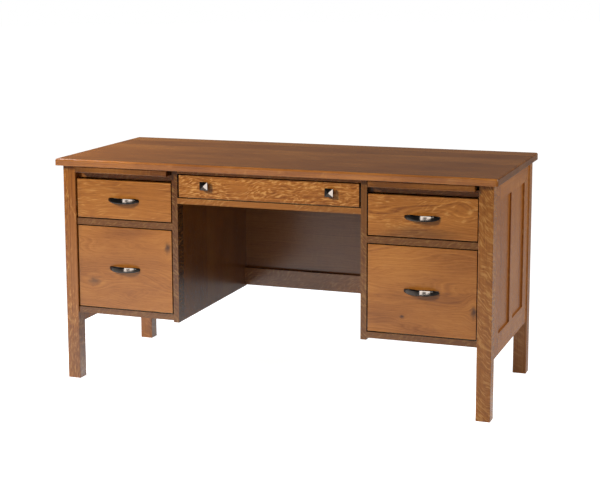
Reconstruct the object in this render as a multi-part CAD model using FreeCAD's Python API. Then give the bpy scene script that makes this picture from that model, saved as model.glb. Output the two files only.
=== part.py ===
"""Pedestal desk of stained quarter-sawn oak: two drawer pedestals under one top, with a kneehole between.

Millimetres. +Z is up, the front faces -Y and the width runs along X. The origin is on the floor under the
middle of the top.
"""
import FreeCAD
import Part
import os

V = FreeCAD.Vector

# Top
desk_height = 775.0
top_width = 1524.0
top_depth = 660.0
top_thickness = 24.0
top_corner_radius = 7.0
top_edge_radius = 6.0
top_lower_ease = 1.5
end_overhang = 17.5
front_overhang = 26.5
back_overhang = 3.0

# Legs
leg_size = 46.0
leg_ease = 2.0

# Front frame of the pedestals and the kneehole
front_setback = 6.0
reveal = 3.5
centre_side_reveal = 5.5
kneehole_width = 638.0
stile_width = 20.0
stile_depth = 45.0
stile_drop = 7.0
rail_depth = 55.0
slide_rail_height = 21.5
slide_rail_setback = 20.0
middle_rail_height = 22.0
bottom_rail_height = 20.0
pedestal_clearance = 236.0
centre_rail_height = 13.0
apron_height = 19.0
apron_depth = 45.0

# End frames with their panels
end_recess = 3.5
end_thickness = 20.0
end_bottom = 188.0
end_stile_width = 73.0
end_mullion_width = 53.0
end_top_rail_height = 63.0
end_bottom_rail_height = 68.0
panel_recess = 5.5
panel_thickness = 8.0
panel_play = 1.0

# Back
back_thickness = 6.0
back_rabbet = 10.0
back_rail_thickness = 19.0
back_top_rail_height = 60.0
back_foot_rail_height = 64.0

# Joinery
tenon_length = 18.0
stile_tenon = 8.0
shoulder = 5.0
groove_depth = 9.0
tongue_depth = 10.0

# Drawer fronts and boxes
small_drawer_height = 132.5
centre_drawer_height = 75.0
front_thickness = 20.0
front_ease = 1.5
box_wall = 13.0
box_rise = 10.0
box_drop = 14.0
bottom_thickness = 6.0
bottom_lift = 8.0
bottom_groove = 6.0
dovetail_pitch = 36.0
dovetail_pin = 11.0
dovetail_flare = 2.0

# Full-extension drawer slides
slide_width = 12.7
slide_height = 45.0
slide_sheet = 1.5
slide_play = 0.4
slide_inset = 3.0
drawer_back_gap = 76.5
centre_back_gap = 176.5
channel_lip = 9.0
middle_lip = 10.5
cleat_height = 64.0

# Pull-out writing slides
board_thickness = 19.0
board_proud = 25.0
board_back_gap = 103.5
board_side_gap = 9.0
board_headroom = 2.2
board_play = 0.3
board_ease = 1.5
guide_play = 1.0
runner_bearing = 15.0
stop_width = 20.0
stop_inset = 100.0
stop_clearance = 3.0
finger_groove_radius = 6.0
finger_groove_inset = 14.0

# Pulls, knobs and their screws
pull_length = 116.0
pull_height = 19.5
pull_end_height = 10.0
pull_projection = 27.0
pull_strap = 4.5
pull_foot = 11.0
pull_ease = 1.2
knob_size = 28.0
knob_plate = 5.0
knob_pyramid = 6.0
knob_point = 3.0
knob_stem_diameter = 13.0
knob_stem_length = 12.0
knob_spacing = 434.0
knob_rise = 6.0
screw_diameter = 4.0
screw_hole_play = 0.25
screw_head_diameter = 8.5
screw_head_height = 2.5

# Levels along Z
top_under = desk_height - top_thickness
board_top = top_under - board_headroom
board_bottom = board_top - board_thickness
slide_rail_z = (board_bottom - board_play - slide_rail_height, board_bottom - board_play)
small_front_top = slide_rail_z[0] - reveal
small_front_z = (small_front_top - small_drawer_height, small_front_top)
middle_rail_z = (small_front_z[0] - reveal - middle_rail_height, small_front_z[0] - reveal)
bottom_rail_z = (pedestal_clearance, pedestal_clearance + bottom_rail_height)
file_front_z = (bottom_rail_z[1] + reveal, middle_rail_z[0] - reveal)
centre_rail_z = (top_under - centre_rail_height, top_under)
centre_front_top = centre_rail_z[0] - reveal
centre_front_z = (centre_front_top - centre_drawer_height, centre_front_top)
apron_z = (centre_front_z[0] - reveal - apron_height, centre_front_z[0] - reveal)
inner_side_z = (pedestal_clearance - stile_drop, top_under)
back_panel_z = (pedestal_clearance, top_under)
back_top_rail_z = (top_under - back_top_rail_height, top_under)
back_foot_rail_z = (pedestal_clearance, pedestal_clearance + back_foot_rail_height)

# Levels along Y, from the front
leg_front = -top_depth / 2 + front_overhang
front_leg_y = (leg_front, leg_front + leg_size)
leg_back = top_depth / 2 - back_overhang
back_leg_y = (leg_back - leg_size, leg_back)
face = leg_front + front_setback
stile_back = face + stile_depth
rail_back = face + rail_depth
slide_rail_front = face + slide_rail_setback
box_front = face + front_thickness
back_face = leg_back - back_thickness
back_rail_y = (back_face - back_rail_thickness, back_face)
slide_front = box_front + slide_inset
slide_length = back_rail_y[0] - drawer_back_gap - slide_front
centre_slide_length = back_rail_y[0] - centre_back_gap - slide_front
board_y = (face - board_proud, back_leg_y[0] - board_back_gap)

# Levels along X, from the middle
leg_outer = top_width / 2 - end_overhang
leg_inner = leg_outer - leg_size
end_face = leg_outer - end_recess
end_inside = end_face - end_thickness
panel_face = end_face - panel_recess
knee = kneehole_width / 2
stile_outer = knee + stile_width
board_inner = stile_outer + board_side_gap
board_outer = leg_inner - board_side_gap

SIDES = (("left", -1), ("right", 1))
tolerance = 1e-6


def block(x, y, z):
    """A rectangular board between pairs of X, Y and Z levels."""
    return Part.makeBox(x[1] - x[0], y[1] - y[0], z[1] - z[0], V(x[0], y[0], z[0]))


def across(side, near, far):
    """The X levels of a piece between two distances from the middle, on one side of the desk."""
    return tuple(sorted((side * near, side * far)))


def within(levels, margin):
    """A pair of levels drawn in by a margin at both ends."""
    return (levels[0] + margin, levels[1] - margin)


def grown(levels, margin):
    """A pair of levels pushed out by a margin at both ends."""
    return (levels[0] - margin, levels[1] + margin)


def middle(levels):
    """The level halfway between two levels."""
    return (levels[0] + levels[1]) / 2


def joined(shape, *pieces):
    """One solid of a shape and the tenons or tongues that grow out of it."""
    return shape.fuse(list(pieces)).removeSplitter().Solids[0]


def carved(shape, *tools):
    """One solid left after the mortises, grooves and holes are cut."""
    return shape.cut(list(tools)).Solids[0]


def eased(shape, radius, wanted):
    """The shape with the wanted edges rounded."""
    return shape.makeFillet(radius, [edge for edge in shape.Edges if wanted(edge)]).Solids[0]


def upright(edge):
    """Whether an edge is a straight line along Z."""
    extent = edge.BoundBox
    return extent.XLength < tolerance and extent.YLength < tolerance


def lies_on(axis, level):
    """A test for edges that lie wholly on one level of an axis (0, 1 or 2)."""
    return lambda edge: all(abs(vertex.Point[axis] - level) < tolerance for vertex in edge.Vertexes)


def rod(diameter, length, start, direction):
    """A round bar from a start point along a direction."""
    return Part.makeCylinder(diameter / 2, length, start, direction)


def polygon_bar(points, along):
    """A straight bar whose section is a closed polygon of points."""
    return Part.Face(Part.makePolygon(points + points[:1])).extrude(along)


def desk_top():
    """The top slab, its plan corners rounded, its upper edge rounded over and its lower edge eased."""
    slab = block((-top_width / 2, top_width / 2), (-top_depth / 2, top_depth / 2), (top_under, desk_height))
    slab = eased(slab, top_corner_radius, upright)
    slab = eased(slab, top_edge_radius, lies_on(2, desk_height))
    return eased(slab, top_lower_ease, lies_on(2, top_under))


def leg(side, levels_y, mortises):
    """A square leg with eased corners and the cuts for what is jointed into it."""
    post = block(across(side, leg_inner, leg_outer), levels_y, (0, top_under))
    return carved(eased(post, leg_ease, upright), *mortises)


def end_frame(side):
    """One end's frame and panels, and the tongues that its outer stiles set into the legs."""
    board_x = across(side, end_inside, end_face)
    tenon_x = across(side, end_inside + shoulder, end_face - shoulder)
    panel_x = across(side, panel_face - panel_thickness, panel_face)
    front_y = (front_leg_y[1], front_leg_y[1] + end_stile_width)
    back_y = (back_leg_y[0] - end_stile_width, back_leg_y[0])
    rail_y = (front_y[1], back_y[0])
    mullion_y = grown((middle(rail_y), middle(rail_y)), end_mullion_width / 2)
    outer_z = (end_bottom, top_under)
    foot_z = (end_bottom, end_bottom + end_bottom_rail_height)
    head_z = (top_under - end_top_rail_height, top_under)
    field_z = (foot_z[1], head_z[0])

    panels, grooves = [], []
    for field_y in ((front_y[1], mullion_y[0]), (mullion_y[1], back_y[0])):
        seat = groove_depth - panel_play
        panels.append(block(panel_x, grown(field_y, seat), grown(field_z, seat)))
        grooves.append(block(panel_x, grown(field_y, groove_depth), grown(field_z, groove_depth)))

    tenon_y = grown(rail_y, tenon_length)
    head_tenon = block(tenon_x, tenon_y, (head_z[0] + groove_depth, head_z[1] - shoulder))
    foot_tenon = block(tenon_x, tenon_y, (foot_z[0] + shoulder, foot_z[1] - groove_depth))
    stub = block(panel_x, within(mullion_y, groove_depth), grown(field_z, groove_depth))
    front_tongue = block(panel_x, (front_y[0] - tongue_depth, front_y[0]), within(outer_z, shoulder))
    back_tongue = block(panel_x, (back_y[1], back_y[1] + tongue_depth), within(outer_z, shoulder))

    head = carved(joined(block(board_x, rail_y, head_z), head_tenon), stub, *grooves)
    foot = carved(joined(block(board_x, rail_y, foot_z), foot_tenon), stub, *grooves)
    mullion = carved(joined(block(board_x, mullion_y, field_z), stub), *grooves)
    rails = (head_tenon, foot_tenon)
    front = carved(joined(block(board_x, front_y, outer_z), front_tongue), grooves[0], *rails)
    back = carved(joined(block(board_x, back_y, outer_z), back_tongue), grooves[1], *rails)
    return head, foot, [front, mullion, back], panels, front_tongue, back_tongue


def pedestal_rail(side, front, levels_z):
    """A front rail of a pedestal, with the tenons that it sets into the leg and the inner stile."""
    tenon_z = within(levels_z, shoulder)
    leg_tenon = block(across(side, leg_inner, leg_inner + tenon_length),
                      (front + shoulder, front_leg_y[1] - shoulder), tenon_z)
    inner_tenon = block(across(side, stile_outer - stile_tenon, stile_outer),
                        (front + shoulder, stile_back - shoulder), tenon_z)
    board = block(across(side, stile_outer, leg_inner), (front, rail_back), levels_z)
    return joined(board, leg_tenon, inner_tenon), leg_tenon, inner_tenon


def kneehole_rail(depth, levels_z):
    """A rail across the kneehole's front, tenoned into both inner stiles."""
    tenon_y = (face + shoulder, min(face + depth, stile_back) - shoulder)
    tenon_z = within(levels_z, min(shoulder, (levels_z[1] - levels_z[0]) / 3))
    tenon = block((-knee - stile_tenon, knee + stile_tenon), tenon_y, tenon_z)
    return joined(block((-knee, knee), (face, face + depth), levels_z), tenon), tenon


def back_rail(side, levels_z):
    """A back rail of a pedestal, tenoned into the back leg."""
    tenon = block(across(side, leg_inner, leg_inner + tenon_length), within(back_rail_y, shoulder),
                  within(levels_z, shoulder))
    return joined(block(across(side, stile_outer, leg_inner), back_rail_y, levels_z), tenon), tenon


def board_guides(side):
    """The runners under a writing slide's edges and the guides beside them, behind the front rail."""
    run_y = (rail_back, back_leg_y[0])
    guide_z = (slide_rail_z[1], top_under)
    return [
        block(across(side, stile_outer, board_inner + runner_bearing), run_y, slide_rail_z),
        block(across(side, board_outer - runner_bearing, end_inside), run_y, slide_rail_z),
        block(across(side, stile_outer, board_inner - guide_play), run_y, guide_z),
        block(across(side, board_outer + guide_play, end_inside), run_y, guide_z),
    ]


def writing_slide(side):
    """A pull-out board with a finger groove under its front edge, and the block that stops it."""
    board_x = across(side, board_inner, board_outer)
    board = block(board_x, board_y, (board_bottom, board_top))
    board = eased(board, board_ease, lies_on(1, board_y[0]))
    groove = rod(2 * finger_groove_radius, board_outer - board_inner - 2 * runner_bearing,
                 V(board_x[0] + runner_bearing, board_y[0] + finger_groove_inset, board_bottom), V(1, 0, 0))
    stop_x = within(board_x, runner_bearing + guide_play)
    stop_back = board_y[1] - stop_inset
    stop_z = (slide_rail_z[0] + stop_clearance, board_bottom)
    stop = block(stop_x, (stop_back - stop_width, stop_back), stop_z)
    return [carved(board, groove), stop]


def slide_member(wall, towards, web, lip, height, length, level):
    """One pressed channel of a drawer slide: its web and two flanges, measured off the wall it hangs on."""
    turn = 1 if lip > web else -1
    inside = web + turn * slide_sheet
    half = height / 2
    section = [(web, -half), (lip, -half), (lip, slide_sheet - half), (inside, slide_sheet - half),
               (inside, half - slide_sheet), (lip, half - slide_sheet), (lip, half), (web, half)]
    points = [V(wall + towards * u, slide_front, level + v) for u, v in section]
    return polygon_bar(points, V(0, length, 0))


def drawer_slides(walls, level, length):
    """A drawer's pair of slides between two walls: cabinet channels, middle members and drawer runners."""
    step = slide_sheet + slide_play
    channels, middles, runners = [], [], []
    for wall, towards in ((walls[0], 1), (walls[1], -1)):
        place = (length, level)
        channels.append(slide_member(wall, towards, 0, channel_lip, slide_height, *place))
        middles.append(slide_member(wall, towards, step, middle_lip, slide_height - 2 * step, *place))
        runners.append(slide_member(wall, towards, slide_width, 2 * step, slide_height - 4 * step, *place))
    return channels, middles, runners


def dovetail_pins(levels_x, corner, inward, levels_z):
    """The pins of one corner's dovetails: narrow at the box's end and wider inside."""
    height = levels_z[1] - levels_z[0]
    count = max(1, round(height / dovetail_pitch))
    pins = []
    for index in range(count + 1):
        level = levels_z[0] + height * index / count
        narrow = dovetail_pin / 2
        wide = narrow + dovetail_flare
        end, inside = corner, corner + inward * box_wall
        outline = [V(levels_x[0], end, level - narrow), V(levels_x[0], inside, level - wide),
                   V(levels_x[0], inside, level + wide), V(levels_x[0], end, level + narrow)]
        pins.append(polygon_bar(outline, V(levels_x[1] - levels_x[0], 0, 0)))
    return pins


def drawer_box(levels_x, depth, levels_z, holes):
    """A dovetailed box: two sides with the tails, a sub-front and a back with the pins, and the bottom."""
    levels_y = (box_front, box_front + depth)
    floor_z = (levels_z[0] + bottom_lift, levels_z[0] + bottom_lift + bottom_thickness)
    lap = box_wall - bottom_groove
    floor = block(within(levels_x, lap), within(levels_y, lap), floor_z)
    sides = []
    for side_x in ((levels_x[0], levels_x[0] + box_wall), (levels_x[1] - box_wall, levels_x[1])):
        front_pins = dovetail_pins(side_x, levels_y[0], 1, levels_z)
        rear_pins = dovetail_pins(side_x, levels_y[1], -1, levels_z)
        sides.append(carved(block(side_x, levels_y, levels_z), *front_pins, *rear_pins))
    sub_front = block(levels_x, (levels_y[0], levels_y[0] + box_wall), levels_z)
    rear = block(levels_x, (levels_y[1] - box_wall, levels_y[1]), levels_z)
    return [
        carved(sides[0], floor),
        carved(sides[1], floor),
        carved(sub_front, floor, *sides, *holes),
        carved(rear, floor, *sides),
        floor,
    ]


def fixing(x, z):
    """A machine screw from inside the box to the drawer's face, and the hole that it passes through."""
    start = V(x, box_front + box_wall, z)
    length = front_thickness + box_wall
    shank = rod(screw_diameter, length, start, V(0, -1, 0))
    head = rod(screw_head_diameter, screw_head_height, start, V(0, 1, 0))
    hole = rod(screw_diameter + 2 * screw_hole_play, length, start, V(0, -1, 0))
    return joined(shank, head), hole


def strap_pull(x, z):
    """An arched strap, boat-shaped from the front, that stands on the drawer at both ends."""
    left, right = grown((x, x), pull_length / 2)
    foot_left, foot_right = within((left, right), pull_foot)
    low, high = grown((z, z), pull_height / 2)
    end_low, end_high = grown((z, z), pull_end_height / 2)
    crown = face - pull_projection
    outer = Part.Arc(V(left, face, low), V(x, crown, low), V(right, face, low)).toShape()
    under = crown + pull_strap
    inner = Part.Arc(V(foot_right, face, low), V(x, under, low), V(foot_left, face, low)).toShape()
    feet = [Part.makeLine(V(right, face, low), V(foot_right, face, low)),
            Part.makeLine(V(foot_left, face, low), V(left, face, low))]
    bow = Part.Face(Part.Wire([outer, feet[0], inner, feet[1]])).extrude(V(0, 0, high - low))

    upper = Part.Arc(V(left, crown, end_high), V(x, crown, high), V(right, crown, end_high)).toShape()
    lower = Part.Arc(V(right, crown, end_low), V(x, crown, low), V(left, crown, end_low)).toShape()
    ends = [Part.makeLine(V(right, crown, end_high), V(right, crown, end_low)),
            Part.makeLine(V(left, crown, end_low), V(left, crown, end_high))]
    boat = Part.Face(Part.Wire([upper, ends[0], lower, ends[1]])).extrude(V(0, pull_projection, 0))
    strap = bow.common(boat).Solids[0]
    return strap.makeFillet(pull_ease, strap.Edges).Solids[0]


def pyramid_knob(x, z):
    """A square knob on a round stem, its face a low pyramid."""
    plate_back = face - knob_stem_length
    plate_front = plate_back - knob_plate
    stem = rod(knob_stem_diameter, knob_stem_length, V(x, face, z), V(0, -1, 0))
    half = knob_size / 2
    plate = block((x - half, x + half), (plate_front, plate_back), (z - half, z + half))
    corners = ((-1, -1), (1, -1), (1, 1), (-1, 1), (-1, -1))
    rings = []
    for level, reach in ((plate_front, half), (plate_front - knob_pyramid, knob_point / 2)):
        rings.append(Part.makePolygon([V(x + a * reach, level, z + b * reach) for a, b in corners]))
    return joined(stem, plate, Part.makeLoft(rings, True, True))


def drawer(levels_x, levels_z, walls, length, hardware, fixing_x, fixing_z):
    """A drawer's pieces: front, box, hardware with its screws, and the three members of its slides."""
    screws, holes = zip(*(fixing(x, fixing_z) for x in fixing_x))
    front = block(levels_x, (face, box_front), levels_z)
    front = carved(eased(front, front_ease, lies_on(1, face)), *holes)
    box_x = within(walls, slide_width)
    box_z = (levels_z[0] + box_rise, levels_z[1] - box_drop)
    box = drawer_box(box_x, length + slide_inset, box_z, holes)
    channels, middles, runners = drawer_slides(walls, middle(box_z), length)
    return [front], box, hardware + list(screws), channels, middles, runners


nodes = {"desk_top": [desk_top()]}
mortises = {(side, row): [] for _, side in SIDES for row in ("front", "back")}
stile_cuts = {side: [] for _, side in SIDES}
slide_channels = []
slide_cleats = []
guides = []


def add_drawer(name, pieces):
    """Store a drawer's pieces under its name, and its cabinet channels with the others."""
    front, box, hardware, channels, middles, runners = pieces
    nodes[name + "_front"] = front
    nodes[name + "_box"] = box
    nodes[name + ("_knobs" if name.startswith("centre") else "_pull")] = hardware
    nodes[name + "_slide_middles"] = middles
    nodes[name + "_slide_runners"] = runners
    slide_channels.extend(channels)


# Ends, front rails, drawers and writing slide of each pedestal
for name, side in SIDES:
    head, foot, stiles, panels, front_tongue, back_tongue = end_frame(side)
    nodes[name + "_end_top_rail"] = [head]
    nodes[name + "_end_bottom_rail"] = [foot]
    nodes[name + "_end_stiles"] = stiles
    nodes[name + "_end_panels"] = panels
    mortises[side, "front"].append(front_tongue)
    mortises[side, "back"].append(back_tongue)

    rails = (("slide", slide_rail_front, slide_rail_z), ("middle", face, middle_rail_z),
             ("bottom", face, bottom_rail_z))
    for place, front, levels in rails:
        rail, leg_tenon, inner_tenon = pedestal_rail(side, front, levels)
        nodes[name + "_" + place + "_rail"] = [rail]
        mortises[side, "front"].append(leg_tenon)
        stile_cuts[side].append(inner_tenon)

    walls = across(side, stile_outer, leg_inner)
    for kind, levels in (("small", small_front_z), ("file", file_front_z)):
        foot_x = [middle(walls) + end * (pull_length - pull_foot) / 2 for end in (-1, 1)]
        pull = strap_pull(middle(walls), middle(levels))
        pieces = drawer(within(walls, reveal), levels, walls, slide_length, [pull], foot_x, middle(levels))
        add_drawer(name + "_" + kind + "_drawer", pieces)
        level = middle((levels[0] + box_rise, levels[1] - box_drop))
        slide_cleats.append(block(across(side, leg_inner, end_inside), (front_leg_y[1], back_leg_y[0]),
                                  (level - cleat_height / 2, level + cleat_height / 2)))

    nodes[name + "_writing_slide"] = writing_slide(side)
    guides.extend(board_guides(side))

# Centre drawer with its two knobs
knob_x = [-knob_spacing / 2, knob_spacing / 2]
knob_z = middle(centre_front_z) + knob_rise
knobs = [pyramid_knob(x, knob_z) for x in knob_x]
knee_walls = (-knee, knee)
add_drawer("centre_drawer", drawer(within(knee_walls, centre_side_reveal), centre_front_z, knee_walls,
                                   centre_slide_length, knobs, knob_x, knob_z))

# Rails over and under the centre drawer
kneehole_rails = (("centre_top_rail", rail_depth, centre_rail_z), ("centre_apron", apron_depth, apron_z))
for place, depth, levels in kneehole_rails:
    rail, tenon = kneehole_rail(depth, levels)
    nodes[place] = [rail]
    for _, side in SIDES:
        stile_cuts[side].append(tenon)

# Inner stiles and the kneehole's side panels
for name, side in SIDES:
    inner_x = across(side, knee, stile_outer)
    stile = block(inner_x, (face, stile_back), inner_side_z)
    nodes[name + "_inner_stile"] = [carved(stile, *stile_cuts[side])]
    nodes[name + "_inner_panel"] = [block(inner_x, (stile_back, back_face), inner_side_z)]

# Back panel and back rails
back_panel = block(grown((-leg_inner, leg_inner), back_rabbet), (back_face, leg_back), back_panel_z)
nodes["back_panel"] = [back_panel]
top_rails = [block(knee_walls, back_rail_y, back_top_rail_z)]
foot_rails = []
for name, side in SIDES:
    mortises[side, "back"].append(back_panel)
    for rails, levels in ((top_rails, back_top_rail_z), (foot_rails, back_foot_rail_z)):
        rail, tenon = back_rail(side, levels)
        rails.append(rail)
        mortises[side, "back"].append(tenon)
nodes["back_top_rails"] = top_rails
nodes["pedestal_back_rails"] = foot_rails
nodes["kneehole_back_rail"] = [block(knee_walls, back_rail_y, back_foot_rail_z)]

# Legs, cut for everything that is jointed into them
for name, side in SIDES:
    for row, levels in (("front", front_leg_y), ("back", back_leg_y)):
        nodes[row + "_" + name + "_leg"] = [leg(side, levels, mortises[side, row])]

nodes["slide_channels"] = slide_channels
nodes["slide_cleats"] = slide_cleats
nodes["writing_slide_guides"] = guides

os.makedirs("parts", exist_ok=True)
for name, solids in nodes.items():
    shape = solids[0] if len(solids) == 1 else Part.makeCompound(solids)
    shape.exportStep(os.path.join("parts", name + ".step"))
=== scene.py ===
"""Finishes, hardware and studio for an oak pedestal desk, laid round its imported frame.

The boards keep the frame's own meshes and get stained oak, clear maple, poplar and zinc-plated
steel. The bowed pulls, the square knobs and their screws are new surfaces that replace the plain
ones. Lengths are metres, in the frame's axes: X to the right, Y to the back, Z up.
"""

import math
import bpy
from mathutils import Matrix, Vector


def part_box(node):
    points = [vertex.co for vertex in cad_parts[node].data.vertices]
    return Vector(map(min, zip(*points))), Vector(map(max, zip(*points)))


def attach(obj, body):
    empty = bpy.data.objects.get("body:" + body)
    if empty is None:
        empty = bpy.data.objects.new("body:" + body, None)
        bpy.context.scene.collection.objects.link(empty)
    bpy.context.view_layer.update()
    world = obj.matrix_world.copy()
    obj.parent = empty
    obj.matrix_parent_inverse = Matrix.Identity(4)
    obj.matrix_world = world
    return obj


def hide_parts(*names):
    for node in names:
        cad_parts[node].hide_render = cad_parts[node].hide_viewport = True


bl_info = {
    "name": "Oak pedestal desk",
    "version": (1, 0, 0),
    "blender": (4, 5, 0),
    "location": "View3D > Sidebar > Desk",
    "description": "Dresses the packed desk in stained oak with dark nickel hardware",
    "category": "Object",
}

from typing import NamedTuple

import bpy
import numpy as np
from bpy.props import FloatProperty, FloatVectorProperty, PointerProperty
from mathutils import Matrix, Vector

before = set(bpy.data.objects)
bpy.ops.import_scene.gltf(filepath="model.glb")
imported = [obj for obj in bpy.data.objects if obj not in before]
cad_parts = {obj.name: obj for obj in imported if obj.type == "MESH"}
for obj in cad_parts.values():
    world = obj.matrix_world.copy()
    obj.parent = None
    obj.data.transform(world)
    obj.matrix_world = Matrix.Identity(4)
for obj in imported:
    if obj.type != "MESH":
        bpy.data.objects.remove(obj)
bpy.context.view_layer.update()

SIDES = ("left", "right")
PULL_DRAWERS = ("left_small_drawer", "left_file_drawer", "right_small_drawer", "right_file_drawer")
DRAWERS = (*PULL_DRAWERS, "centre_drawer")
MM = 0.001
WHITE = (1.0, 1.0, 1.0, 1.0)
# A ramp takes, in order, a value, where it starts and ends, and what it gives there; this makes it smooth
SMOOTH = {"interpolation_type": "SMOOTHSTEP"}
# Points round a ring: of a pull, and of a knob, a screw or the floor
STRAP_SIDES, ROUND_SIDES = 48, 96
# Angle between two faces of a new surface from which their edge is sharp, in degrees
CREASE = 38

# The floor's bright pool: its middle, the radius of its full core, and the white far away from it
POOL_MIDDLE, POOL_CORE, POOL_FAR = (-1.6, -1.3, 0.0), 0.4, 0.06
# How high a ray climbs, as a sine, where the room's wall ends and where its ceiling begins
WALL_END, CEILING_START = 0.3, 0.75
# How wide the beams of the key and of the light over the top are, in radians
KEY_SPREAD, TOP_SPREAD = 1.05, 1.7
# A pull's card: its width and height, and how far it stands aside, before and above the pull's mirror point
CARD_SIZE, CARD_ASIDE, CARD_AWAY, CARD_RISE = (1.14, 0.3), 0.36, 0.9, 0.12
# The camera: its place, its turn, tilt and roll in degrees, and its lens shift in picture widths
CAMERA_PLACE = Vector((1.65964, -4.65730, 1.42709))
CAMERA_ANGLES = (21.947, -8.860, -0.521)
CAMERA_SHIFT = (0.1017, -0.1)


def linear(code):
    """An sRGB hex colour as linear red, green, blue and a full alpha."""
    parts = [int(code[start:start + 2], 16) / 255 for start in (1, 3, 5)]
    return [p / 12.92 if p <= 0.04045 else ((p + 0.055) / 1.055) ** 2.4 for p in parts] + [1.0]


def colour(name, description, code):
    """A colour that a user may change, given as its sRGB hex value."""
    return FloatVectorProperty(
        name=name, description=description, subtype="COLOR", size=4, min=0.0, max=1.0, default=linear(code)
    )


def length(name, description, millimetres):
    """A size that a user may change, given in millimetres and kept in metres."""
    size = millimetres * MM
    return FloatProperty(name=name, description=description, unit="LENGTH", min=0.0, default=size)


def power(name, description, watts):
    """A lamp's strength that a user may change, in watts."""
    return FloatProperty(name=name, description=description, unit="POWER", min=0.0, default=watts)


def glow(name, description, strength):
    """A brightness that a user may change, where 1 is white."""
    return FloatProperty(name=name, description=description, min=0.0, default=strength)


class OakSettings(bpy.types.PropertyGroup):
    """The stain on the oak, and the sizes of its grain."""

    pale: colour("Pale wood", "Open, light wood between the rings", "#C07D37")
    body: colour("Body", "The stain's own colour on most of the wood", "#A56426")
    deep: colour("Deep wood", "Dense late wood, where the stain gathers", "#7A4214")
    ray: colour("Ray fleck", "The smooth medullary rays that take little stain", "#D69F58")
    knot: colour("Knot", "The heart of a knot", "#4A2A12")
    ring: length("Ring width", "Distance from one growth ring to the next", 4.5)
    # The paler arris is partly rubbed wear and partly a painted highlight along the edge
    arris: length("Worn arris", "Width of the paler rubbed edge", 3.0)


class TimberSettings(bpy.types.PropertyGroup):
    """The unstained woods inside."""

    maple_pale: colour("Maple, pale", "Light part of the drawer boxes", "#E6CB9F")
    maple_body: colour("Maple, body", "Most of the drawer boxes", "#D9B884")
    maple_deep: colour("Maple, deep", "Dark lines in the drawer boxes", "#BF9762")
    poplar_pale: colour("Poplar, pale", "Light part of the hidden strips", "#D3C39B")
    poplar_body: colour("Poplar, body", "Most of the hidden strips", "#BFAE82")
    poplar_deep: colour("Poplar, deep", "Dark lines in the hidden strips", "#948559")


class HardwareSettings(bpy.types.PropertyGroup):
    """Metals, and the sizes of the pulls, knobs and screws that the frame's boxes don't give."""

    nickel: colour("Dark nickel", "Polished dark plating of pulls and knobs", "#302C29")
    nickel_worn: colour("Rubbed nickel", "The plating where hands polish it", "#57514C")
    zinc: colour("Zinc plate", "Plated steel of the drawer slides and screws", "#B9BCC0")
    strap: length("Strap thickness", "Thickness of a pull's strap at its middle", 4.5)
    foot: length("Pull foot", "Length of a pull's foot on the drawer", 11.0)
    strap_end: length("Pull end height", "Height of a pull at its ends", 11.0)
    strap_tip: length("Pull end thickness", "How far a pull's blunt ends stand off the drawer", 3.0)
    strap_lean: length("Pull lean", "How far a pull's upper edge leans back", 1.0)
    stem: length("Knob stem", "Diameter of a knob's round stem", 13.0)
    plate: length("Knob plate", "Thickness of a knob's square plate", 5.0)
    pyramid: length("Knob pyramid", "Height of the pyramid on a knob's plate", 6.0)
    shank: length("Screw shank", "Diameter of a screw", 4.0)
    head: length("Screw head", "Diameter of a screw's pan head", 8.5)
    head_height: length("Screw head height", "Height of a screw's pan head", 2.5)


class StageSettings(bpy.types.PropertyGroup):
    """Floor, lamps and camera."""

    floor: colour("Floor", "Plain pale floor", "#D0D0D0")
    floor_radius: length("Floor radius", "Radius of the round floor", 30000.0)
    floor_glow: glow("Floor white", "White that the floor shows", 0.95)
    pool: length("Bright pool", "Radius of the bright floor before the desk, as gloss shows it", 3300.0)
    pool_glow: glow("Pool white", "White that gloss shows in the pool", 2.0)
    key_power: power("Key light", "Soft light high at the front left", 19.0)
    fill_power: power("Front fill", "Wide light behind the camera", 7.0)
    end_power: power("End fill", "Soft light on the right end", 46.0)
    top_power: power("Top light", "Soft light over the left half of the top", 8.0)
    pull_power: power("Pull card", "Card before each pull, which that pull alone mirrors", 24.0)
    edge_power: power("Edge card", "Low card that only the top's front edge mirrors", 12.5)
    card_power: power("Knob card", "Low card that only the knobs mirror", 88.0)
    wall: glow("Studio wall", "Brightness of the room by the horizon", 0.11)
    ceiling: glow("Studio ceiling", "Brightness of the room above", 0.2)
    lens: FloatProperty(name="Lens", description="Focal length of the camera", unit="CAMERA", default=87.18)


def adder(tree):
    """Clear a tree, and give the function that adds nodes to it."""
    tree.nodes.clear()

    def add(kind, links=(), operation=None, **settings):
        """Add one node with its settings, set or link its inputs in order or by key, and give its outputs."""
        node = tree.nodes.new(kind if kind.startswith("NodeGroup") else "ShaderNode" + kind)
        if operation:
            node.operation = operation
        for name, value in settings.items():
            setattr(node, name, value)
        for key, value in links.items() if isinstance(links, dict) else enumerate(links):
            if isinstance(value, bpy.types.NodeSocket):
                tree.links.new(value, node.inputs[key])
            else:
                node.inputs[key].default_value = value
        return node.outputs

    return add


def paler_arrises(add, radius, sharp, wear):
    """How far an arris is paled, as rubbed wear and, on the oak, also as a painted highlight along the edge:
    a bevel's normal turns away from the surface's own beside it.

    The share grows from nought where the two normals agree to the given paling where their cosine is sharp.
    """
    plain = add("NewGeometry")["Normal"]
    eased = add("Bevel", {"Radius": radius}, samples=6)[0]
    turn = add("VectorMath", (plain, eased), "DOT_PRODUCT")["Value"]
    agree = 0.995
    paler_arris = add("MapRange", (turn, agree, sharp), **SMOOTH)[0]
    return add("Math", (paler_arris, wear), "MULTIPLY")[0]


class Figure(NamedTuple):
    """How one board is sawn, and how strongly each part of its pattern shows, in metres and degrees."""

    board: float = 9.0
    wander: float = 0.02
    rings: float = 0.4
    streaks: float = 0.6
    clouds: float = 0.4
    rays: float = 0.1
    slant: float = 0.0
    sway: float = 0.04
    dense: float = 0.0
    fleck: tuple = (0.008, 0.04, 0.04)
    # Paling of the arrises: rubbed wear, and a painted highlight along the edges
    wear: float = 0.35


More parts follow.
